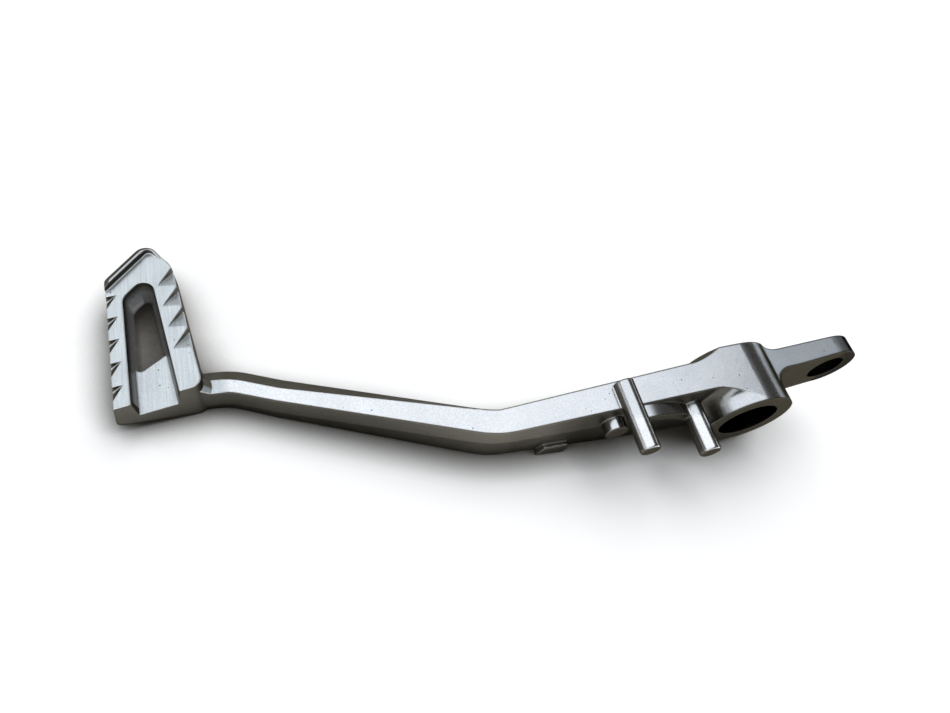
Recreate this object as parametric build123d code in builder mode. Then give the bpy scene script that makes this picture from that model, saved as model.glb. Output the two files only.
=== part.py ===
from build123d import *
import os
from math import asin, atan2, copysign, cos, degrees, hypot, radians, sin, tan

# Rear brake pedal, one aluminium casting, in millimetres.
# The origin lies on the pivot axis, in the mouth of the bore at the inner end of the boss.
# +X runs back to the rear lug, +Y runs outboard along the pivot, +Z is square to the tread.

# Pivot boss
bore_diameter = 20.0
boss_wall = 5.3
boss_length = 21.6

# Arm, drafted both ways from the parting plane through the pivot axis
arm_width = 8.9
arm_offset = 11.05
arm_spread = 4.4
arm_draft = 4.0
arm_top_height = 6.2
inner_flare_radius = 6.6
outer_flare_rise = 3.7
outer_flare_run = 8.6
outer_flare_rim = 1.7
flare_share = 0.95
top_break_reach = 86.0
top_break_radius = 60.0
belly_reach = 48.0
belly_drop = 14.4
belly_radius = 120.0

# Cranks of the arm in plan, each run and step taken from the crank before it
bend_reach = 89.5
bend_radius = 30.0
swan_run = 60.5
swan_step = 21.3
swan_radius = 24.0
neck_run = 13.0
neck_step = 5.2
neck_radius = 20.0
root_run = 7.0
root_overlap = 3.0
root_drop = 1.8

# Bevel along the arm's outer top edge, from the pad to the bend
bevel_strip = 4.3
bevel_slope = 31.0

# Tread pad
tread_height = 12.0
pad_thickness = 8.0
pad_draft = 5.0
pad_setback = 0.5
pad_width = 22.3
pad_inner_skew = 10.5
pad_front_length = 41.3
pad_front_lean = 1.2
pad_back_length = 42.0
pad_back_lean = 5.6
pad_tip_advance = 11.4
pad_tip_rise = 13.0
pad_inner_round = 3.0
pad_tip_round = 3.5
pad_shoulder_round = 7.0
pad_outer_round = 2.5
pad_front_round = 2.2
root_rib_width = 9.3
root_cove = 2.0
root_cove_slope = 45.0

# Lip round the outer end of the tread
lip_width = 2.0
lip_tip_width = 0.9
lip_height = 1.9
lip_bevel_run = 1.4
lip_bevel_drop = 0.85
lip_inner_round = 1.6
lip_fade = 4.6

# Window through the pad, with a channel at its inner end
front_rail = 4.2
back_rail = 6.1
outer_bridge = 7.1
window_draft = 11.0
window_back_round = 2.9
window_front_round = 4.5
floor_corner_round = 1.2
floor_length = 12.4
floor_skew = 35.0

# Teeth cut in the tread's two long edges, placed anticlockwise along each edge
tooth_pitch = 7.4
notch_drop = 2.2
notch_lean = 0.5
notch_root_round = 0.6
back_notch_count = 4
back_notch_start = 13.3
back_notch_reach = 5.0
back_notch_deep_end = 5.8
back_notch_shallow_end = -0.8
front_notch_count = 5
front_notch_start = 4.6
front_notch_reach = 2.8
front_notch_deep_end = 0.4
front_notch_shallow_end = 4.6

# Rear lug
lug_length = 36.1
lug_rise = 9.6
lug_radius = 10.7
lug_hole_diameter = 12.6
lug_inset = 12.0
lug_thickness = 6.5
lug_inner_flare = 4.5
lug_swell = 0.8
lug_outer_run = 3.4
lug_root_round = 8.0

# Spring pin that crosses the arm's top
cross_pin_diameter = 6.6
cross_pin_reach = 46.6
cross_pin_lift = 0.9
cross_pin_overhang = 14.9
cross_pin_inset = 1.6

# Spring pin beside the boss
side_pin_diameter = 7.1
side_pin_reach = 21.9
side_pin_height = 4.0
side_pin_overhang = 16.6

# Saddle rib between the two pins
saddle_overhang = 3.8
saddle_start_drop = 3.6
saddle_end_drop = 2.2
saddle_crown = 3.4
saddle_depth = 3.6

# Stop stud and small tab on the arm's inner side
stud_diameter = 7.6
stud_reach = 50.0
stud_height = 2.2
stud_overhang = 3.9
tab_reach = 68.0
tab_length = 10.0
tab_overhang = 1.3
tab_top_drop = 7.6
tab_bevel = 2.0

# Rounded ends of the two pins
pin_end_round = 0.7

# Sizes that follow from the ones above
boss_radius = bore_diameter / 2 + boss_wall
half_arm = arm_width / 2
arm_inner = arm_offset - half_arm
arm_outer = arm_offset + half_arm
swan_reach = bend_reach + swan_run
swan_offset = arm_offset + swan_step
neck_reach = swan_reach + neck_run
neck_offset = swan_offset + neck_step
pad_back_reach = neck_reach + root_run
pad_front_reach = pad_back_reach + pad_width
root_reach = pad_back_reach + root_overlap
lug_outer = lug_inset + lug_thickness
draft_run = tan(radians(arm_draft))
pad_draft_run = tan(radians(pad_draft))
pad_bottom = tread_height - pad_thickness
clear = 2 * pad_front_reach


def rim_angle(reach, height, side):
    """Angle on the boss's rim, in side view, where a straight edge from a point of the arm runs on to it."""
    bearing = degrees(atan2(height, -reach))
    spread = 90 - degrees(asin(boss_radius / hypot(reach, height)))
    return bearing + side * spread


def rim_point(angle):
    """Point of the boss's rim in side view."""
    return (boss_radius * cos(radians(angle)), boss_radius * sin(radians(angle)))


def flared_hub(inner, outer, inner_flare, outer_run, outer_rim):
    """Half section of the boss and of a plate that flares into it, with a round on the inner side."""
    inner_flare = min(inner_flare, flare_share * inner)
    with BuildSketch(Plane.YZ) as section:
        with BuildLine():
            Polyline(
                (inner - inner_flare, boss_radius),
                (0, boss_radius),
                (0, 0),
                (boss_length, 0),
                (boss_length, boss_radius + outer_rim),
            )
            outer_arc = TangentArc(
                (outer, boss_radius + outer_rim + outer_run),
                (boss_length, boss_radius + outer_rim),
                tangent=(0, -1),
            )
            inner_arc = TangentArc(
                (inner, boss_radius + inner_flare),
                (inner - inner_flare, boss_radius),
                tangent=(0, -1),
            )
            Line(outer_arc @ 0, inner_arc @ 0)
        make_face()
    return section.sketch


def edge_line(start, end, inset):
    """Line of an edge that runs anticlockwise round the tread, moved in by an inset."""
    along = (Vector(*end) - Vector(*start)).normalized()
    return Axis(Vector(*start) + Vector(-along.Y, along.X) * inset, along)


def meet(first, second):
    """Point where two lines in plan cross."""
    corner = first.intersect(second)
    return (corner.X, corner.Y)


def cut_notches(edge, count, start, reach, deep_end, shallow_end):
    """Row of pointed notches along one edge of the tread, each running out to nothing at its tip."""
    outward = Vector(edge.direction.Y, -edge.direction.X)
    bottom = deep_end + copysign(notch_lean, shallow_end - deep_end)
    for index in range(count):
        foot = edge.position + edge.direction * (start + index * tooth_pitch) + Vector(0, 0, tread_height)
        with BuildSketch(Plane(foot + outward * reach, edge.direction, outward)) as mouth:
            with BuildLine():
                FilletPolyline(
                    (2 * deep_end, 0),
                    (2 * bottom, -2 * notch_drop),
                    (2 * shallow_end, 0),
                    radius=2 * notch_root_round,
                )
                Line((2 * shallow_end, 0), (2 * deep_end, 0))
            make_face()
        point = foot - outward * reach
        loft([mouth.sketch.face(), Vertex(point.X, point.Y, point.Z)], mode=Mode.SUBTRACT)


# Arm and boss: the cranked blade and the flared boss, cut to their side outline
top_angle = rim_angle(top_break_reach, arm_top_height, -1)
belly_angle = rim_angle(belly_reach, -belly_drop, 1)
scoop = arm_inner + boss_radius * draft_run
outer_recess = boss_length - outer_flare_rise
top_setback = arm_top_height * draft_run
bevel_shift = bevel_strip - half_arm + top_setback
bevel_fall = arm_width * tan(radians(bevel_slope))

with BuildPart() as arm:
    with BuildSketch(Plane.XY):
        with BuildLine():
            FilletPolyline(
                (0, arm_offset),
                (-bend_reach, arm_offset),
                (-swan_reach, swan_offset),
                (-neck_reach, neck_offset),
                (-root_reach, neck_offset),
                radius=[bend_radius, swan_radius, neck_radius],
            )
        trace(line_width=arm_width)
        with BuildLine():
            Polyline(
                (0, arm_offset),
                (0, arm_outer + arm_spread),
                (-bend_reach, arm_outer),
                (-bend_reach, arm_offset),
                close=True,
            )
        make_face()
    extrude(amount=boss_radius, both=True, taper=arm_draft)
    hub = flared_hub(scoop, outer_recess, inner_flare_radius, outer_flare_run, outer_flare_rim)
    revolve(hub, axis=Axis.Y)
    with BuildSketch(Plane.XZ) as arm_side:
        with BuildLine():
            Polyline(
                rim_point(top_angle),
                (-top_break_reach, arm_top_height),
                (-root_reach, arm_top_height),
                (-root_reach, -root_drop),
                (-belly_reach, -belly_drop),
                rim_point(belly_angle),
            )
            CenterArc((0, 0), boss_radius, belly_angle, top_angle - belly_angle + 360)
        make_face()
        fillet(arm_side.vertices().sort_by_distance((-top_break_reach, arm_top_height))[0], top_break_radius)
        fillet(arm_side.vertices().sort_by_distance((-belly_reach, -belly_drop))[0], belly_radius)
    extrude(amount=clear, both=True, mode=Mode.INTERSECT)

    # Bevel along the outer top edge, fading out at the bend
    with BuildLine(Plane.XY.offset(arm_top_height)) as bevel_edge:
        FilletPolyline(
            (-root_reach, neck_offset + bevel_shift),
            (-neck_reach, neck_offset + bevel_shift),
            (-swan_reach, swan_offset + bevel_shift),
            (-bend_reach, arm_outer - top_setback),
            (-belly_reach, arm_outer + arm_width),
            radius=[neck_radius, swan_radius, bend_radius],
        )
    with BuildSketch(Plane((-root_reach, neck_offset + bevel_shift, arm_top_height), (0, 1, 0), (1, 0, 0))):
        with BuildLine():
            Polyline((0, 0), (arm_width, -bevel_fall), (arm_width, bevel_fall), close=True)
        make_face()
    sweep(path=bevel_edge.line, mode=Mode.SUBTRACT)

# Rear lug: a plate that flares into the boss, cut to its side outline
lug_eye = (lug_length * cos(radians(lug_rise)), lug_length * sin(radians(lug_rise)))

with BuildPart() as lug:
    with BuildSketch(Plane.XY):
        with BuildLine():
            Polyline(
                (0, lug_inset - lug_swell),
                (boss_radius + lug_inner_flare, lug_inset - lug_swell),
                (lug_length, lug_inset),
                (2 * lug_length, lug_inset),
                (2 * lug_length, lug_outer),
                (0, lug_outer),
                close=True,
            )
        make_face()
    extrude(amount=clear, both=True)
    hub = flared_hub(lug_inset - lug_swell, lug_outer, lug_inner_flare, lug_outer_run, 0)
    revolve(hub, axis=Axis.Y)
    with BuildSketch(Plane.XZ) as lug_side:
        Circle(boss_radius)
        with Locations((lug_eye[0] / 2, lug_eye[1] / 2)):
            SlotCenterToCenter(lug_length, 2 * lug_radius, rotation=lug_rise)
        fillet(lug_side.vertices().sort_by(Axis.X)[1:3], lug_root_round)
    extrude(amount=clear, both=True, mode=Mode.INTERSECT)

# Outline of the tread, anticlockwise from its inner front corner
pad_inner = neck_offset - half_arm + pad_setback
inner_front = (-pad_front_reach, pad_inner - pad_width * tan(radians(pad_inner_skew)))
inner_back = (-pad_back_reach, pad_inner)
shoulder = (-pad_back_reach - pad_back_lean, pad_inner + pad_back_length)
outer_front = (inner_front[0] - pad_front_lean, inner_front[1] + pad_front_length)
tip = (outer_front[0] + pad_tip_advance, outer_front[1] + pad_tip_rise)
back_edge = edge_line(inner_back, shoulder, 0)
front_edge = edge_line(outer_front, inner_front, 0)
inner_end_passed = edge_line(inner_front, inner_back, -pad_width)
back_edge_passed = edge_line(inner_back, shoulder, -pad_width)
front_edge_passed = edge_line(outer_front, inner_front, -pad_width)

# Window with drafted walls, over the channel floor left standing at its inner end
window_front = edge_line(outer_front, inner_front, front_rail)
window_back = edge_line(inner_back, shoulder, back_rail)
window_outer = edge_line(tip, outer_front, outer_bridge)
floor_corner = Vector(inner_front[0] + front_rail, inner_front[1] + floor_length)
floor_run = Vector(pad_width, pad_width * tan(radians(floor_skew)))

with BuildPart() as window:
    with BuildSketch(Plane.XY.offset(tread_height)) as opening:
        with BuildLine():
            Polyline(
                meet(inner_end_passed, window_back),
                meet(window_back, window_outer),
                meet(window_outer, window_front),
                meet(window_front, inner_end_passed),
                close=True,
            )
        make_face()
        fillet(opening.vertices().sort_by(Axis.Y)[-1], window_back_round)
        fillet(opening.vertices().sort_by_distance(meet(window_outer, window_front))[0], window_front_round)
    extrude(amount=-(tread_height + root_drop), taper=window_draft)
    with BuildSketch(Plane.XY.offset(arm_top_height)):
        with BuildLine():
            Polyline(
                floor_corner - floor_run,
                floor_corner + floor_run,
                floor_corner + floor_run - Vector(0, clear),
                floor_corner - floor_run - Vector(0, clear),
                close=True,
            )
        make_face()
    extrude(amount=-clear, mode=Mode.SUBTRACT)
    fillet(window.edges().sort_by_distance(floor_corner)[0], floor_corner_round)

# Tread pad
lip_outer = edge_line(tip, outer_front, lip_width)
lip_tip = edge_line(shoulder, tip, lip_tip_width)
fade_run = Vector(*shoulder) - Vector(*tip)
fade_plane = Plane((*tip, tread_height), fade_run, (fade_run.Y, -fade_run.X, 0))
front_run = front_edge.direction
front_plane = Plane((*inner_front, 0), (-front_run.Y, front_run.X, 0), front_run)

with BuildPart() as pad:
    with BuildSketch(Plane.XY.offset(tread_height)) as tread:
        with BuildLine():
            Polyline(inner_front, inner_back, shoulder, tip, outer_front, close=True)
        make_face()
        fillet(tread.vertices().sort_by_distance(inner_back)[0], pad_inner_round)
        fillet(tread.vertices().sort_by_distance(tip)[0], pad_tip_round)
        fillet(tread.vertices().sort_by_distance(shoulder)[0], pad_shoulder_round)
        fillet(tread.vertices().sort_by_distance(outer_front)[0], pad_outer_round)
    extrude(amount=-(tread_height + root_drop), taper=-pad_draft)
    extrude(tread.sketch, amount=lip_height)
    lip_top = pad.faces().sort_by(Axis.Z)[-1]
    chamfer(lip_top.edges(), lip_bevel_run, lip_bevel_drop, reference=lip_top)
    with BuildSketch(Plane.XY.offset(tread_height)) as inside_lip:
        with BuildLine():
            Polyline(
                meet(inner_end_passed, back_edge_passed),
                meet(back_edge_passed, lip_tip),
                meet(lip_tip, lip_outer),
                meet(lip_outer, front_edge_passed),
                meet(front_edge_passed, inner_end_passed),
                close=True,
            )
        make_face()
        fillet(inside_lip.vertices().sort_by_distance(meet(lip_tip, lip_outer))[0], lip_inner_round)
    extrude(amount=lip_height, mode=Mode.SUBTRACT)
    with BuildSketch(fade_plane):
        with BuildLine():
            Polyline(
                (lip_width, lip_height),
                (lip_width + lip_fade, 0),
                (pad_width, 0),
                (pad_width, lip_height),
                close=True,
            )
        make_face()
    extrude(amount=2 * lip_width, both=True, mode=Mode.SUBTRACT)
    add(window.part, mode=Mode.SUBTRACT)
    cut_notches(
        back_edge,
        back_notch_count,
        back_notch_start,
        back_notch_reach,
        back_notch_deep_end,
        back_notch_shallow_end,
    )
    cut_notches(
        front_edge,
        front_notch_count,
        front_notch_start,
        front_notch_reach,
        front_notch_deep_end,
        front_notch_shallow_end,
    )

    # Underside: flat beyond the root rib, and the rib rising to the front
    with BuildSketch(Plane.XY.offset(pad_bottom)):
        with Locations((-pad_front_reach, pad_inner + root_rib_width)):
            Rectangle(clear, clear, align=(Align.CENTER, Align.MIN))
    extrude(amount=-clear, mode=Mode.SUBTRACT)
    with BuildSketch(front_plane):
        with BuildLine():
            underside = FilletPolyline(
                (pad_width, -root_drop),
                (-pad_thickness * pad_draft_run, pad_bottom),
                (0, tread_height),
                radius=pad_front_round,
            )
            Polyline(
                underside @ 1,
                (-pad_width, tread_height),
                (-pad_width, -pad_width),
                (pad_width, -pad_width),
                underside @ 0,
            )
        make_face()
    extrude(amount=clear, both=True, mode=Mode.SUBTRACT)

# Cove where the arm's top runs into the back of the pad
cove_height = arm_top_height + root_cove

with BuildPart() as cove:
    with BuildSketch(Plane.XY.offset(cove_height)):
        add(tread.sketch_local)
        offset(amount=(tread_height - cove_height) * pad_draft_run, mode=Mode.REPLACE)
    extrude(amount=-root_cove, taper=-root_cove_slope)
    with BuildSketch(Plane.XY):
        with Locations((-root_reach, neck_offset - half_arm + top_setback)):
            Rectangle(root_reach - neck_reach, bevel_strip, align=Align.MIN)
    extrude(amount=clear, mode=Mode.INTERSECT)

# Heights of the arm's top and underside where the small features sit on it
arm_top_at_pin = (boss_radius + cross_pin_reach * cos(radians(top_angle))) / sin(radians(top_angle))
arm_outer_at_pin = arm_outer + arm_spread * (1 - cross_pin_reach / bend_reach) - arm_top_at_pin * draft_run
cross_pin_height = arm_top_at_pin + cross_pin_lift
underside_slope = (belly_drop - root_drop) / (root_reach - belly_reach)
tab_back = tab_reach - tab_length / 2
tab_front = tab_reach + tab_length / 2

# Cross pin and side pin, with rounded inner ends
with BuildPart() as pins:
    with BuildSketch(Plane.XZ.offset(cross_pin_overhang - arm_inner)):
        with Locations((-cross_pin_reach, cross_pin_height)):
            Circle(cross_pin_diameter / 2)
    extrude(amount=-(cross_pin_overhang + arm_outer_at_pin - arm_inner - cross_pin_inset))
    with BuildSketch(Plane.XZ.offset(side_pin_overhang - arm_inner)):
        with Locations((-side_pin_reach, side_pin_height)):
            Circle(side_pin_diameter / 2)
    extrude(amount=-(side_pin_overhang + half_arm))
    fillet(pins.edges().filter_by(GeomType.CIRCLE).sort_by(Axis.Y)[:2], pin_end_round)

# Pedal: everything in one casting
with BuildPart() as casting:
    add(arm.part)
    add(pad.part)
    add(cove.part)
    add(lug.part)
    add(pins.part)

    # Saddle rib from pin to pin
    with BuildSketch(Plane.XZ.offset(saddle_overhang - arm_inner)):
        with BuildLine():
            saddle_start = Vector(-cross_pin_reach, cross_pin_height - saddle_start_drop)
            saddle_end = Vector(-side_pin_reach, side_pin_height - saddle_end_drop)
            saddle_middle = (saddle_start + saddle_end) / 2 + Vector(0, saddle_crown)
            ThreePointArc(saddle_start, saddle_middle, saddle_end)
        trace(line_width=saddle_depth)
    extrude(amount=-(saddle_overhang + half_arm))

    # Stop stud and tab
    with BuildSketch(Plane.XZ.offset(stud_overhang - arm_inner)):
        with Locations((-stud_reach, stud_height)):
            Circle(stud_diameter / 2)
    extrude(amount=-(stud_overhang + half_arm))
    with BuildSketch(Plane.XZ.offset(tab_overhang - arm_inner)):
        with BuildLine():
            Polyline(
                (-tab_front, -root_drop - (root_reach - tab_front) * underside_slope),
                (-tab_back, -root_drop - (root_reach - tab_back) * underside_slope),
                (-tab_back, -tab_top_drop),
                (-tab_front + tab_bevel, -tab_top_drop),
                close=True,
            )
        make_face()
    extrude(amount=-(tab_overhang + half_arm))

    # Pivot bore and lug hole
    with BuildSketch(Plane.XZ):
        Circle(bore_diameter / 2)
        with Locations(lug_eye):
            Circle(lug_hole_diameter / 2)
    extrude(amount=clear, both=True, mode=Mode.SUBTRACT)

os.makedirs("parts", exist_ok=True)
casting.part.label = "pedal_casting"
export_step(casting.part, "parts/pedal_casting.step")
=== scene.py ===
"""Studio scene of a cast aluminium rear brake pedal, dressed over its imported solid."""

import logging
import math
from dataclasses import dataclass, field
from enum import Enum
from typing import Any

import bpy
from bpy.types import Material, Node, NodeSocket, NodeTree, Object
from mathutils import Matrix, Vector

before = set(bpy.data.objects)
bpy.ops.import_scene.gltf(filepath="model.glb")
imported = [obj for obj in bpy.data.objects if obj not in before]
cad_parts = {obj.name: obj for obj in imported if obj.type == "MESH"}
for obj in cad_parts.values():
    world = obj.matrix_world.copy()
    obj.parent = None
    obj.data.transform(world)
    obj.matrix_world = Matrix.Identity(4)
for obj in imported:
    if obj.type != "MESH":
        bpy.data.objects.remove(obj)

log = logging.getLogger("rear_brake_pedal")

MM = 0.001

Span = tuple[float, float]
Point = tuple[float, float, float]
Colour = tuple[float, float, float, float]

# What feeds an input: a node's first output in use, any other output, or a plain value
Feed = Node | NodeSocket | Colour | Point | float
Feeds = dict[str | int, Feed]


class Zone(Enum):
    """Parts of the casting whose upper faces were finished differently, and the lug's round end, painted
    dark as painted shade.
    """

    TREAD = "tread"
    ARM = "arm"
    BOSS = "boss"
    LUG = "lug"
    # The lug's round end, painted dark as painted shade
    END = "end"


def linear(code: str) -> Colour:
    """Turn an sRGB hex colour into linear light.

    Args:
        code: Six hex digits, with or without a leading hash.

    Returns:
        Linear red, green and blue, with an alpha of one.
    """
    digits = code.lstrip("#")
    shares = [int(digits[i:i + 2], 16) / 255 for i in (0, 2, 4)]
    light = [s / 12.92 if s <= 0.04045 else ((s + 0.055) / 1.055) ** 2.4 for s in shares]
    return (light[0], light[1], light[2], 1.0)


def span(side: str, ends: Span) -> Feeds:
    """Name the two ends of a range.

    Args:
        side: From for the range that goes in, To for the one that comes out.
        ends: The range's two ends.

    Returns:
        The ends under the names that a map range node's inputs have.
    """
    return {f"{side} Min": ends[0], f"{side} Max": ends[1]}


def add_node(tree: NodeTree, kind: str, feeds: Feeds | None = None, **settings: Any) -> Node:
    """Add one node to a tree, with its settings and what feeds it.

    Args:
        tree: The node tree to add to.
        kind: Blender's type name of the node, without ShaderNode.
        feeds: What feeds each input, by the input's name or its place among those in use.
        **settings: Properties of the node itself.

    Returns:
        The new node.
    """
    node = tree.nodes.new(f"ShaderNode{kind}")
    for name, value in settings.items():
        setattr(node, name, value)
    in_use = [socket for socket in node.inputs if socket.enabled]
    for key, feed in (feeds or {}).items():
        socket = in_use[key] if isinstance(key, int) else next(s for s in in_use if s.name == key)
        if isinstance(feed, Node):
            feed = next(output for output in feed.outputs if output.enabled)
        if isinstance(feed, NodeSocket):
            tree.links.new(feed, socket)
        else:
            socket.default_value = feed
    return node


@dataclass(frozen=True)
class ZoneFinish:
    """How the linished faces of one zone look."""

    zone: Zone
    colour: str
    roughness: float


@dataclass(frozen=True)
class Noise:
    """A noise pattern: its size in millimetres, its octaves, and how strong the finer ones are."""

    size: float
    octaves: float
    finer: float = 0.5

    def feeds(self) -> Feeds:
        """Give what a noise node needs to draw the pattern."""
        return {"Scale": 1 / self.size, "Detail": self.octaves, "Roughness": self.finer}


@dataclass(frozen=True)
class CastAluminium:
    """Cast aluminium with its upper faces linished on a belt. Sizes are in millimetres.

    The linished faces are pale and mirror the sky softly. The cast skin left on the
    walls is a dull brown-grey, darkened further as painted shade. Gas pits stay as small
    dark specks, the edges are painted bright as rubbed wear and painted highlight, and the
    tread is brushed along its length. Painted shade darkens the channel's corners, the
    bores and the lug's round end, and painted light brightens the pins and the belly's walls.
    """

    name: str = "cast_aluminium_linished"

    # Linished faces, from the tread to the round end of the lug, which is painted dark as painted shade
    zones: tuple[ZoneFinish, ...] = (
        ZoneFinish(Zone.TREAD, "#D3DADD", 0.32),
        ZoneFinish(Zone.ARM, "#ECEFF2", 0.15),
        ZoneFinish(Zone.BOSS, "#D6DADE", 0.20),
        ZoneFinish(Zone.LUG, "#B9BFC4", 0.40),
        # Painted shade: the lug's round end is painted dark
        ZoneFinish(Zone.END, "#414446", 0.30),
    )
    # Painted highlight: the pins are painted brighter than the arm
    pin_highlight_colour: str = "#F6F8FA"
    facet_roughness: float = 0.55

    # Cast skin of the walls, darkened further as painted shade; paler along the arm's belly as painted
    # light; cleaner in the window
    skin_and_shade_colour: str = "#68655E"
    # Painted light: the belly's walls are painted paler
    belly_light_colour: str = "#8C887F"
    window_colour: str = "#E2E4E5"
    skin_roughness: float = 0.38

    # Tint of the sheen at a glancing look: weak on cast skin, as part of its painted shade, and weakest on
    # the lug's round end, as painted shade
    skin_and_shade_sheen: str = "#8E8C88"
    bright_sheen: str = "#FFFFFF"
    # Painted shade on the lug's round end
    end_shade_sheen: str = "#2E2E2C"

    # Which faces the belt reached, by how far they look up, outboard and back, and how near it went
    #     to the long edges, by how far those turn. Faces left out take the dark skin, so walls, faces
    #     leaning outboard or back, the long edges and the tread's front-facing facets are painted shade
    belt_level: Span = (0.42, 0.55)
    belt_outer: Span = (0.47, 0.38)
    belt_back: Span = (0.46, 0.34)
    belt_edge: Span = (0.28, 0.10)
    tread_level: Span = (0.85, 0.92)
    tread_front: Span = (-0.05, -0.20)
    facet_level: Span = (0.985, 0.96)

    # Cast grain and cloudy mottle, and the middle of the range that noise takes
    grain: Noise = Noise(0.5, 3.0, 0.65)
    grain_depth: float = 0.012
    grain_shade: Span = (0.90, 1.08)
    mottle: Noise = Noise(12.0, 5.0, 0.65)
    mottle_shade: Span = (0.92, 1.04)
    noise_middle: Span = (0.3, 0.7)

    # Brush lines along the tread, drawn coarser than the real grit so that they show
    streaks: Noise = Noise(0.4, 3.0, 0.6)
    streak_length: float = 15.0
    streak_shade: Span = (0.84, 1.08)

    # Gas pits, in loose clusters
    pit_colour: str = "#3A3936"
    pit_spacing: float = 1.8
    pit_radius: float = 0.30
    pit_core: float = 0.12
    pit_clusters: Noise = Noise(9.0, 1.0)
    pit_cluster_noise: Span = (0.35, 0.7)
    pit_share: Span = (0.0, 0.6)

    # Rubbed edges, painted bright as wear and as painted highlight
    edge_wear_highlight_colour: str = "#F6F8FA"
    edge_radius: float = 0.9
    edge_turn: Span = (0.985, 0.90)

    # Painted shade in the channel's corners, and painted near-black shade inside the bores
    channel_shade_colour: str = "#211F1D"
    channel_shade_reach: float = 2.5
    channel_shade_cover: Span = (0.72, 0.38)
    # Painted near-black shade inside the bores
    bore_shade_colour: str = "#0D0C0B"
    bore_shade_margin: Span = (0.25, 0.05)

    # How many rays feel for an edge or a corner
    rays: int = 8


@dataclass
class PedalCasting:
    """The whole pedal, one casting. Sizes are in millimetres, as in the solid."""

    node: str = "pedal_casting"

    # Where each zone starts along X, and how gently it blends in
    tread_end: float = -164.0
    boss_start: float = -58.0
    lug_start: float = 4.5
    end_start: float = 37.6
    sharp_fade: float = 3.0
    boss_fade: float = 86.0
    end_fade: float = 4.5

    # Stretch of the arm whose walls are painted paler as painted light, offsetting the shaded floor they
    # mirror, as it comes in and goes out along X
    belly_in: Span = (-125.0, -85.0)
    belly_out: Span = (-60.0, -75.0)

    # Stretch of the arm that carries the pins, and where they stand clear of it along Y
    pins_middle: float = -35.0
    pins_half: float = 18.0
    pins_clear: Span = (3.5, 1.0)

    # Window in the pad, as middle and half size along X and Y, and its depth
    window_middle: Span = (-183.6, 53.0)
    window_half: Span = (6.8, 21.0)
    window_depth: Span = (11.0, 8.5)
    channel_height: float = 9.0

    # Axis of each bore in X and Z, and its radius
    bores: tuple[Point, ...] = ((0.0, 0.0, 10.0), (35.6, 6.0, 6.3))

    def border(self, zone: Zone) -> Span:
        """Give the stretch along X over which a zone takes over from the one before.

        Args:
            zone: Any zone but the first.

        Returns:
            The stretch's two ends.
        """
        starts = {
            Zone.ARM: (self.tread_end, self.sharp_fade),
            Zone.BOSS: (self.boss_start, self.boss_fade),
            Zone.LUG: (self.lug_start, self.sharp_fade),
            Zone.END: (self.end_start, self.end_fade),
        }
        start, fade = starts[zone]
        return (start - fade / 2, start + fade / 2)

    def dress(self, metal: CastAluminium) -> Object:
        """Give the casting its finish.

        Args:
            metal: The metal and its surface.

        Returns:
            The dressed object.
        """
        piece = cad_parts[self.node]
        piece.data.materials.clear()
        piece.data.materials.append(CastingFinish(self, metal).compose())
        return piece


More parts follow.
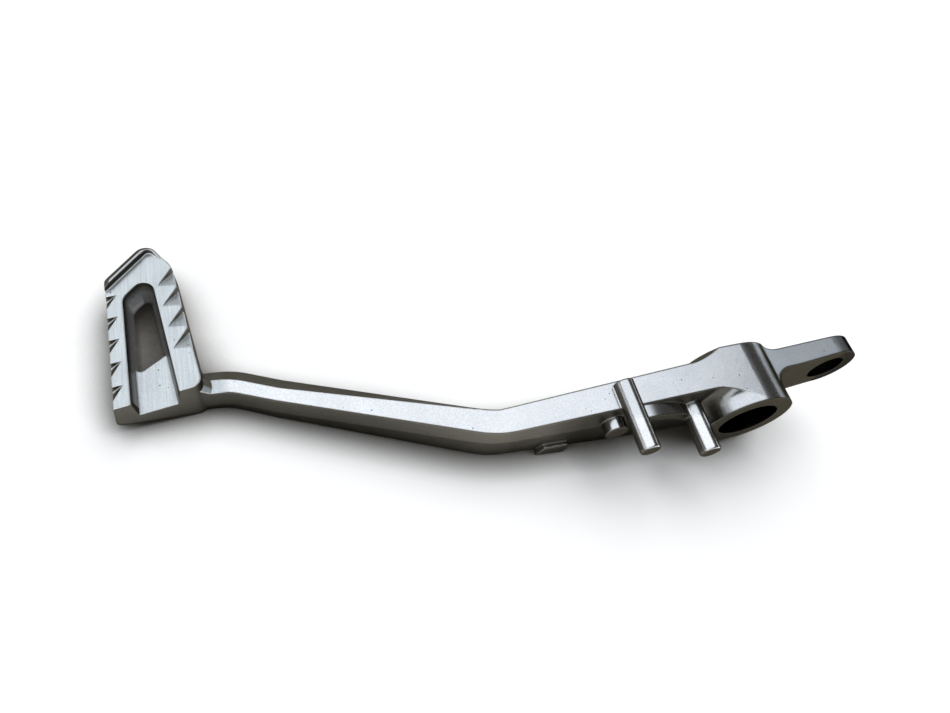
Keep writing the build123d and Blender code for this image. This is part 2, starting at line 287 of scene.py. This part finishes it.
class CastingFinish:
    """Works out the casting's material from its metal, one look at a time."""

    def __init__(self, casting: PedalCasting, metal: CastAluminium) -> None:
        """Start the material, and read where each point lies and how it faces.

        Args:
            casting: The pedal, which says where each look belongs.
            metal: The metal and its surface.
        """
        self.casting = casting
        self.metal = metal
        self.material = bpy.data.materials.new(metal.name)
        self.material.use_nodes = True
        self.material.node_tree.nodes.clear()
        coords = self.add("TexCoord").outputs
        self.normal = coords["Normal"]
        self.place = self.add("VectorMath", {0: coords["Object"], "Scale": 1 / MM}, operation="SCALE")
        self.axes = self.add("SeparateXYZ", {0: self.place}).outputs
        self.facing = self.add("SeparateXYZ", {0: self.normal}).outputs
        self.grain = self.add("TexNoise", {"Vector": self.place, **metal.grain.feeds()})
        fade = (casting.tread_end - casting.sharp_fade, casting.tread_end)
        self.off_tread = self.add("MapRange", {"Value": self.axes["X"], **span("From", fade)})
        self.on_tread = self.add("Math", {0: 1.0, 1: self.off_tread}, operation="SUBTRACT")
        self.rounded = self.add("Bevel", {"Radius": metal.edge_radius * MM}, samples=metal.rays)
        self.linished = self.belt_and_shade_reach()

    def add(self, kind: str, feeds: Feeds | None = None, **settings: Any) -> Node:
        """Add one node to this material."""
        return add_node(self.material.node_tree, kind, feeds, **settings)

    def belt_and_shade_reach(self) -> Node:
        """Find the faces that the belt reached, which also decides where the dark skin paints shade.

        Returns:
            One on upper faces, and zero on walls and along the long edges. On the tread,
            sloping faces count only where they look inboard. Zero leaves a face to the dark
            skin, which is partly painted shade.
        """
        metal = self.metal
        level = self.add("MapRange", {"Value": self.facing["Z"], **span("From", metal.belt_level)},
                         interpolation_type="SMOOTHSTEP")
        bend = self.add("VectorMath", {0: self.rounded, 1: self.normal}, operation="SUBTRACT")
        across = self.add("SeparateXYZ", {0: bend}).outputs["Y"]
        turn = self.add("Math", {0: across}, operation="ABSOLUTE")
        limits = (
            (self.facing["Y"], metal.belt_outer),
            (self.facing["X"], metal.belt_back),
            (turn, metal.belt_edge),
        )
        belted = level
        for lean, limit in limits:
            short = self.add("MapRange", {"Value": lean, **span("From", limit)},
                             interpolation_type="SMOOTHSTEP")
            belted = self.add("Math", {0: belted, 1: short}, operation="MULTIPLY")
        flat = self.add("MapRange", {"Value": self.facing["Z"], **span("From", metal.tread_level)},
                        interpolation_type="SMOOTHSTEP")
        inboard = self.add("MapRange", {"Value": self.facing["Y"], **span("From", metal.tread_front)})
        tread = self.add("Mix", {"Factor": inboard, "A": flat, "B": level})
        return self.add("Mix", {"Factor": self.off_tread, "A": tread, "B": belted})

    def zone_tones(self) -> tuple[Feed, Feed]:
        """Blend the zones' finishes into each other along the pedal.

        Returns:
            The colour and the roughness of the linished faces.
        """
        first, *others = self.metal.zones
        colour: Feed = linear(first.colour)
        rough: Feed = first.roughness
        for finish in others:
            border = self.casting.border(finish.zone)
            share = self.add("MapRange", {"Value": self.axes["X"], **span("From", border)},
                             interpolation_type="SMOOTHSTEP")
            colour = self.add("Mix", {"Factor": share, "A": colour, "B": linear(finish.colour)},
                              data_type="RGBA")
            rough = self.add("Mix", {"Factor": share, "A": rough, "B": finish.roughness})
        return colour, rough

    def paint_pin_highlight(self, colour: Feed) -> Node:
        """Paint the pins brighter than the arm, as painted highlight.

        Args:
            colour: Colour of the linished faces.

        Returns:
            The colour with the pins in it.
        """
        casting = self.casting
        # Painted highlight on the pins
        beside = self.add("Math", {0: self.axes["X"], 1: casting.pins_middle, 2: casting.pins_half},
                          operation="COMPARE")
        clear = self.add("MapRange", {"Value": self.axes["Y"], **span("From", casting.pins_clear)})
        share = self.add("Math", {0: beside, 1: clear}, operation="MULTIPLY")
        return self.add("Mix", {"Factor": share, "A": colour, "B": linear(self.metal.pin_highlight_colour)},
                        data_type="RGBA")

    def brush(self, colour: Feed) -> Node:
        """Draw the brush lines along the tread.

        Args:
            colour: Colour of the linished faces.

        Returns:
            The colour with lines in it.
        """
        metal = self.metal
        slender = metal.streaks.size / metal.streak_length
        drawn = self.add("VectorMath", {0: self.place, 1: (1.0, slender, slender)}, operation="MULTIPLY")
        lines = self.add("TexNoise", {"Vector": drawn, **metal.streaks.feeds()})
        shade = self.add("MapRange", {"Value": lines, **span("From", metal.noise_middle),
                                      **span("To", metal.streak_shade)})
        kept = self.add("Mix", {"Factor": self.off_tread, "A": shade, "B": 1.0})
        return self.add("VectorMath", {0: colour, "Scale": kept}, operation="SCALE")

    def wall_tone(self) -> Node:
        """Colour the walls.

        Returns:
            The cast skin's colour, darkened as painted shade, paler along the arm's belly as
            painted light, and cleaner in the window.
        """
        casting = self.casting
        metal = self.metal
        rise, fall = (
            self.add("MapRange", {"Value": self.axes["X"], **span("From", ends)})
            for ends in (casting.belly_in, casting.belly_out)
        )
        # Painted light on the belly's walls
        belly = self.add("Math", {0: rise, 1: fall}, operation="MULTIPLY")
        # Dark cast skin on the walls, partly painted shade, paler along the belly as painted light
        skin = self.add("Mix", {"Factor": belly, "A": linear(metal.skin_and_shade_colour),
                                "B": linear(metal.belly_light_colour)}, data_type="RGBA")
        across, along = (
            self.add("Math", {0: self.axes[axis], 1: middle, 2: half}, operation="COMPARE")
            for axis, middle, half in zip("XY", casting.window_middle, casting.window_half)
        )
        inside = self.add("Math", {0: across, 1: along}, operation="MULTIPLY")
        sunk = self.add("MapRange", {"Value": self.axes["Z"], **span("From", casting.window_depth)})
        share = self.add("Math", {0: inside, 1: sunk}, operation="MULTIPLY")
        return self.add("Mix", {"Factor": share, "A": skin, "B": linear(metal.window_colour)},
                        data_type="RGBA")

    def cloud(self, colour: Feed) -> Feed:
        """Vary a colour with the cast grain and a cloudy mottle.

        Args:
            colour: The even colour.

        Returns:
            The uneven colour.
        """
        metal = self.metal
        mottle = self.add("TexNoise", {"Vector": self.place, **metal.mottle.feeds()})
        for noise, shade in ((mottle, metal.mottle_shade), (self.grain, metal.grain_shade)):
            share = self.add("MapRange", {"Value": noise, **span("From", metal.noise_middle),
                                          **span("To", shade)})
            colour = self.add("VectorMath", {0: colour, "Scale": share}, operation="SCALE")
        return colour

    def pit(self, colour: Feed) -> Node:
        """Scatter gas pits in loose clusters.

        Args:
            colour: The sound metal's colour.

        Returns:
            The colour with dark specks in it.
        """
        metal = self.metal
        cells = self.add("TexVoronoi", {"Vector": self.place, "Scale": 1 / metal.pit_spacing}).outputs
        rim = (metal.pit_radius / metal.pit_spacing, metal.pit_core / metal.pit_spacing)
        speck = self.add("MapRange", {"Value": cells["Distance"], **span("From", rim)})
        cluster = self.add("TexNoise", {"Vector": self.place, **metal.pit_clusters.feeds()})
        chance = self.add("MapRange", {"Value": cluster, **span("From", metal.pit_cluster_noise),
                                       **span("To", metal.pit_share)})
        draw = self.add("SeparateColor", {0: cells["Color"]})
        kept = self.add("Math", {0: draw, 1: chance}, operation="LESS_THAN")
        share = self.add("Math", {0: speck, 1: kept}, operation="MULTIPLY")
        return self.add("Mix", {"Factor": share, "A": colour, "B": linear(metal.pit_colour)},
                        data_type="RGBA")

    def paint_hollow_shade(self, colour: Feed) -> Feed:
        """Paint shade into the corners of the channel, and near-black shade inside the bores.

        Args:
            colour: The clean metal's colour.

        Returns:
            The colour with painted shade.
        """
        metal = self.metal
        # Painted shade in the channel's hollow corners
        hollow = self.add("AmbientOcclusion", {"Distance": metal.channel_shade_reach * MM}, samples=metal.rays)
        corner = self.add("MapRange", {"Value": hollow.outputs["AO"], **span("From", metal.channel_shade_cover)},
                          interpolation_type="SMOOTHSTEP")
        low = self.add("Math", {0: self.axes["Z"], 1: self.casting.channel_height}, operation="LESS_THAN")
        channel = self.add("Math", {0: low, 1: self.on_tread}, operation="MULTIPLY")
        share = self.add("Math", {0: corner, 1: channel}, operation="MULTIPLY")
        colour = self.add("Mix", {"Factor": share, "A": colour, "B": linear(metal.channel_shade_colour)},
                          data_type="RGBA")
        # Painted near-black shade inside the bores
        side_on = self.add("CombineXYZ", {"X": self.axes["X"], "Z": self.axes["Z"]})
        for x, z, radius in self.casting.bores:
            reach = self.add("VectorMath", {0: side_on, 1: (x, 0.0, z)}, operation="DISTANCE")
            rim = (radius + metal.bore_shade_margin[0], radius + metal.bore_shade_margin[1])
            share = self.add("MapRange", {"Value": reach, **span("From", rim)})
            colour = self.add("Mix", {"Factor": share, "A": colour, "B": linear(metal.bore_shade_colour)},
                              data_type="RGBA")
        return colour

    def rub_and_highlight_edges(self, colour: Feed) -> Node:
        """Brighten the edges of the linished faces, as rubbed wear and painted highlight.

        Args:
            colour: The colour before handling.

        Returns:
            The colour with bright edges.
        """
        metal = self.metal
        turn = self.add("VectorMath", {0: self.rounded, 1: self.normal}, operation="DOT_PRODUCT")
        edge = self.add("MapRange", {"Value": turn, **span("From", metal.edge_turn)},
                        interpolation_type="SMOOTHSTEP")
        # Rubbed edges, painted bright as wear and as painted highlight
        share = self.add("Math", {0: edge, 1: self.linished}, operation="MULTIPLY")
        return self.add("Mix", {"Factor": share, "A": colour, "B": linear(metal.edge_wear_highlight_colour)},
                        data_type="RGBA")

    def smoothness(self, linished_rough: Feed) -> Node:
        """Work out the roughness of every face.

        Args:
            linished_rough: Roughness of the linished faces, zone by zone.

        Returns:
            The roughness, with the tread's sloping facets and the cast skin in it.
        """
        metal = self.metal
        tilted = self.add("MapRange", {"Value": self.facing["Z"], **span("From", metal.facet_level)})
        facets = self.add("Math", {0: tilted, 1: self.on_tread}, operation="MULTIPLY")
        ground = self.add("Mix", {"Factor": facets, "A": linished_rough, "B": metal.facet_roughness})
        return self.add("Mix", {"Factor": self.linished, "A": metal.skin_roughness, "B": ground})

    def sheen_tone(self) -> Node:
        """Tint the sheen at a glancing look.

        Returns:
            The tint: weak on cast skin, as part of its painted shade, and weakest on the lug's
            round end, as painted shade.
        """
        metal = self.metal
        end = self.casting.border(Zone.END)
        sheen = self.add("Mix", {"Factor": self.linished, "A": linear(metal.skin_and_shade_sheen),
                                 "B": linear(metal.bright_sheen)}, data_type="RGBA")
        # Painted shade on the lug's round end
        share = self.add("MapRange", {"Value": self.axes["X"], **span("From", end)})
        return self.add("Mix", {"Factor": share, "A": sheen, "B": linear(metal.end_shade_sheen)},
                        data_type="RGBA")

    def compose(self) -> Material:
        """Put the looks together.

        Returns:
            The finished material.
        """
        colour, rough = self.zone_tones()
        worked = self.brush(self.paint_pin_highlight(colour))
        # Faces the belt missed take the wall tone, darkened as painted shade
        bare = self.add("Mix", {"Factor": self.linished, "A": self.wall_tone(), "B": worked},
                        data_type="RGBA")
        bump = self.add("Bump", {"Height": self.grain, "Normal": self.rounded,
                                 "Distance": self.metal.grain_depth * MM})
        shader = self.add("BsdfPrincipled", {
            "Base Color": self.rub_and_highlight_edges(self.paint_hollow_shade(self.pit(self.cloud(bare)))),
            "Metallic": 1.0,
            "Roughness": self.smoothness(rough),
            "Specular Tint": self.sheen_tone(),
            "Normal": bump,
        })
        self.add("OutputMaterial", {"Surface": shader})
        return self.material


@dataclass(frozen=True)
class Softbox:
    """One large soft lamp. Sizes are in metres, and glow is its radiance."""

    name: str
    place: Point
    target: Point
    width: float
    depth: float
    glow: float
    colour: str = "#FFFFFF"

    def hang(self) -> Object:
        """Make the lamp and point it at its target. Only matt faces take its light.

        Returns:
            The lamp.
        """
        data = bpy.data.lights.new(self.name, "AREA")
        data.shape = "RECTANGLE"
        data.size = self.width
        data.size_y = self.depth
        data.energy = self.glow * math.pi * self.width * self.depth
        data.color = linear(self.colour)[:3]
        lamp = bpy.data.objects.new(self.name, data)
        lamp.visible_glossy = False
        bpy.context.scene.collection.objects.link(lamp)
        lamp.location = self.place
        aim = Vector(self.target) - Vector(self.place)
        lamp.rotation_euler = aim.to_track_quat("-Z", "Y").to_euler()
        return lamp


@dataclass(frozen=True)
class Sky:
    """A wide bright ceiling over a dim room. Its edge is given in cosines from its centre."""

    name: str = "room"
    centre: Point = (-0.530, 0.290, 0.797)
    edge: Span = (0.44, 0.53)
    strength: float = 1.12
    colour: str = "#F8FBFF"
    room_colour: str = "#3B3936"

    def spread(self) -> None:
        """Set the ceiling and the room round the scene."""
        world = bpy.data.worlds.new(self.name)
        bpy.context.scene.world = world
        world.use_nodes = True
        tree = world.node_tree
        tree.nodes.clear()
        look = add_node(tree, "TexCoord").outputs["Generated"]
        near = add_node(tree, "VectorMath", {0: look, 1: self.centre}, operation="DOT_PRODUCT")
        share = add_node(tree, "MapRange", {"Value": near, **span("From", self.edge)},
                         interpolation_type="SMOOTHSTEP")
        glow = add_node(tree, "Mix", {"Factor": share, "A": linear(self.room_colour),
                                      "B": linear(self.colour)}, data_type="RGBA")
        room = add_node(tree, "Background", {"Color": glow, "Strength": self.strength})
        add_node(tree, "OutputWorld", {"Surface": room})


@dataclass(frozen=True)
class WhitePaper:
    """Matt white paper, a little darker and warmer where the pedal shades it. Reach is in metres."""

    name: str = "matt_white_paper"
    colour: str = "#F8F8F7"
    shade_colour: str = "#57534C"
    shade_reach: float = 0.016
    shade_cover: Span = (0.42, 0.87)
    shade_rays: int = 16

    def make(self) -> Material:
        """Make the material.

        Returns:
            The paper.
        """
        material = bpy.data.materials.new(self.name)
        material.use_nodes = True
        tree = material.node_tree
        tree.nodes.clear()
        cover = add_node(tree, "AmbientOcclusion", {"Distance": self.shade_reach}, samples=self.shade_rays)
        share = add_node(tree, "MapRange", {"Value": cover.outputs["AO"], **span("From", self.shade_cover)})
        tone = add_node(tree, "Mix", {"Factor": share, "A": linear(self.shade_colour),
                                      "B": linear(self.colour)}, data_type="RGBA")
        shader = add_node(tree, "BsdfDiffuse", {"Color": tone})
        add_node(tree, "OutputMaterial", {"Surface": shader})
        return material


@dataclass
class Studio:
    """Paper sweep under the pedal, one soft lamp over it, and the room around it. Sizes are in metres."""

    # Two points of the straight underside that the pedal rests on, as X and Z in millimetres
    rest_back: Span = (-48.0, -14.4)
    rest_front: Span = (-173.0, -1.8)

    # Round sweep: flat floor, cove and low wall
    floor_name: str = "floor"
    floor_radius: float = 3.0
    cove_radius: float = 1.0
    wall_height: float = 1.6
    cove_steps: int = 12
    sweep_sides: int = 96

    paper: WhitePaper = field(default_factory=WhitePaper)
    sky: Sky = field(default_factory=Sky)
    lamps: tuple[Softbox, ...] = (
        Softbox("overhead_softbox", (0.55, 0.85, 1.45), (-0.08, 0.02, 0.0), 1.8, 1.8, 2.5),
    )

    def profile(self) -> list[Span]:
        """Draw the sweep's outline from the floor's rim up.

        Returns:
            The radius and the height of each ring.
        """
        rings = []
        for step in range(self.cove_steps + 1):
            turn = math.pi / 2 * step / self.cove_steps
            radius = self.floor_radius + self.cove_radius * math.sin(turn)
            rings.append((radius, self.cove_radius * (1 - math.cos(turn))))
        rings.append((self.floor_radius + self.cove_radius, self.wall_height))
        return rings

    def lay_sweep(self) -> Object:
        """Lay the paper along the pedal's straight underside.

        Returns:
            The sweep.
        """
        rings = self.profile()
        sides = range(self.sweep_sides)
        turns = [2 * math.pi * side / self.sweep_sides for side in sides]
        points = [(radius * math.cos(turn), radius * math.sin(turn), height)
                  for radius, height in rings for turn in turns]
        faces: list[tuple[int, ...]] = [tuple(sides)]
        for ring in range(len(rings) - 1):
            low = ring * self.sweep_sides
            high = low + self.sweep_sides
            for side in sides:
                after = (side + 1) % self.sweep_sides
                faces.append((low + side, high + side, high + after, low + after))
        mesh = bpy.data.meshes.new(self.floor_name)
        mesh.from_pydata(points, [], faces)
        mesh.shade_smooth()
        mesh.materials.append(self.paper.make())
        floor = bpy.data.objects.new(self.floor_name, mesh)
        bpy.context.scene.collection.objects.link(floor)
        floor.location = (self.rest_back[0] * MM, 0.0, self.rest_back[1] * MM)
        rise = self.rest_front[1] - self.rest_back[1]
        run = self.rest_back[0] - self.rest_front[0]
        floor.rotation_euler = (0.0, math.atan2(rise, run), 0.0)
        return floor

    def light(self) -> None:
        """Hang the lamps and set the room."""
        for lamp in self.lamps:
            lamp.hang()
            log.info("lamp %s", lamp.name)
        self.sky.spread()


@dataclass(frozen=True)
class PhotoCamera:
    """Camera at the photograph's view. Place and sensor are in millimetres, clipping in metres."""

    name: str = "photo_camera"
    place: Point = (-159.2, -68.7, 193.5)
    right: Point = (0.9431, -0.2611, 0.2059)
    down: Point = (-0.1229, -0.8492, -0.5136)
    forward: Point = (0.3089, 0.4591, -0.8329)
    focal_pixels: float = 714.0
    image_width: int = 950
    sensor_width: float = 36.0
    clip_start: float = 0.01

    def mount(self) -> Object:
        """Make the camera and put it to use.

        Returns:
            The camera.
        """
        data = bpy.data.cameras.new(self.name)
        data.sensor_fit = "HORIZONTAL"
        data.sensor_width = self.sensor_width
        data.lens = self.sensor_width * self.focal_pixels / self.image_width
        data.clip_start = self.clip_start
        camera = bpy.data.objects.new(self.name, data)
        bpy.context.scene.collection.objects.link(camera)
        turn = Matrix((self.right, [-v for v in self.down], [-v for v in self.forward])).transposed()
        camera.matrix_world = Matrix.Translation(Vector(self.place) * MM) @ turn.to_4x4()
        bpy.context.scene.camera = camera
        return camera


def main() -> None:
    """Dress the pedal and set up its studio."""
    logging.basicConfig(level=logging.INFO, format="%(name)s: %(message)s")
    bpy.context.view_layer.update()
    pedal = PedalCasting().dress(CastAluminium())
    log.info("dressed %s", pedal.name)
    studio = Studio()
    floor = studio.lay_sweep()
    log.info("laid %s", floor.name)
    studio.light()
    PhotoCamera().mount()
    bpy.context.scene.view_settings.view_transform = "Standard"


if __name__ == "__main__":
    main()
